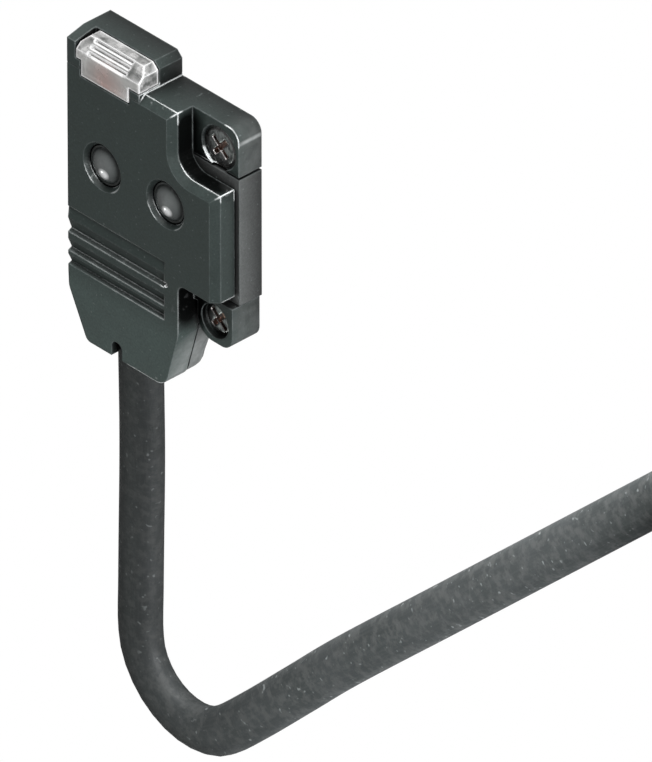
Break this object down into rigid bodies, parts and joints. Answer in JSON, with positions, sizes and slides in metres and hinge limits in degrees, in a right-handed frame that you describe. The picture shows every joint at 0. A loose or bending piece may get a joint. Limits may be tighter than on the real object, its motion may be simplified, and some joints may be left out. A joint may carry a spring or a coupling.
{
  "type": "diffuse photoelectric sensor",
  "caption": "Slim flat diffuse photoelectric sensor with side mounting ears, clear indicator window, round optics and a flat pre-wired lead.",
  "frame": {"origin": "middle of the sensor's bounding box, on its mounting face, without the lead", "axes": "+Z is the sensing direction, +Y points to the indicator end, the lead leaves along -Y, +X is right as seen from the front"},
  "size_m": [0.1057, 0.0617, 0.0086],
  "materials": {
    "case_black": "fine matte moulding, greenish black",
    "cover_black": "fine matte moulding, dark grey",
    "window_clear": "clear moulding",
    "lens_clear": "clear polished lens",
    "screw_steel": "dark steel",
    "board_green": "lacquered circuit board",
    "chip_black": "moulded resin",
    "ceramic_tan": "fired ceramic",
    "led_clear": "clear resin",
    "sheath_grey": "matte vinyl sheath",
    "tinned_copper": "stranded wire, tinned",
    "tie_black": "wire tie",
    "core_brown": "core insulation",
    "core_black": "core insulation",
    "core_blue": "core insulation"
  },
  "bodies": {
    "root": {"front_case": "case_black", "rear_cover": "cover_black", "indicator_window": "window_clear", "emitter_lens": "lens_clear", "receiver_lens": "lens_clear", "upper_screw": "screw_steel", "lower_screw": "screw_steel", "circuit_board": "board_green", "emitter_led": "led_clear", "receiver_chip": "chip_black", "light_shield": "chip_black", "indicator_led": "led_clear", "control_chip": "chip_black", "output_transistor": "chip_black", "supply_capacitor": "ceramic_tan", "filter_capacitor": "ceramic_tan", "emitter_resistor": "chip_black", "indicator_resistor": "chip_black", "brown_core_inner": "core_brown", "black_core_inner": "core_black", "blue_core_inner": "core_blue", "cable_lead": "sheath_grey", "cable_coil": "sheath_grey", "coil_tie": "tie_black", "cable_tail": "sheath_grey", "brown_core_tail": "core_brown", "black_core_tail": "core_black", "blue_core_tail": "core_blue", "brown_conductor_tip": "tinned_copper", "black_conductor_tip": "tinned_copper", "blue_conductor_tip": "tinned_copper"}
  },
  "joints": []
}
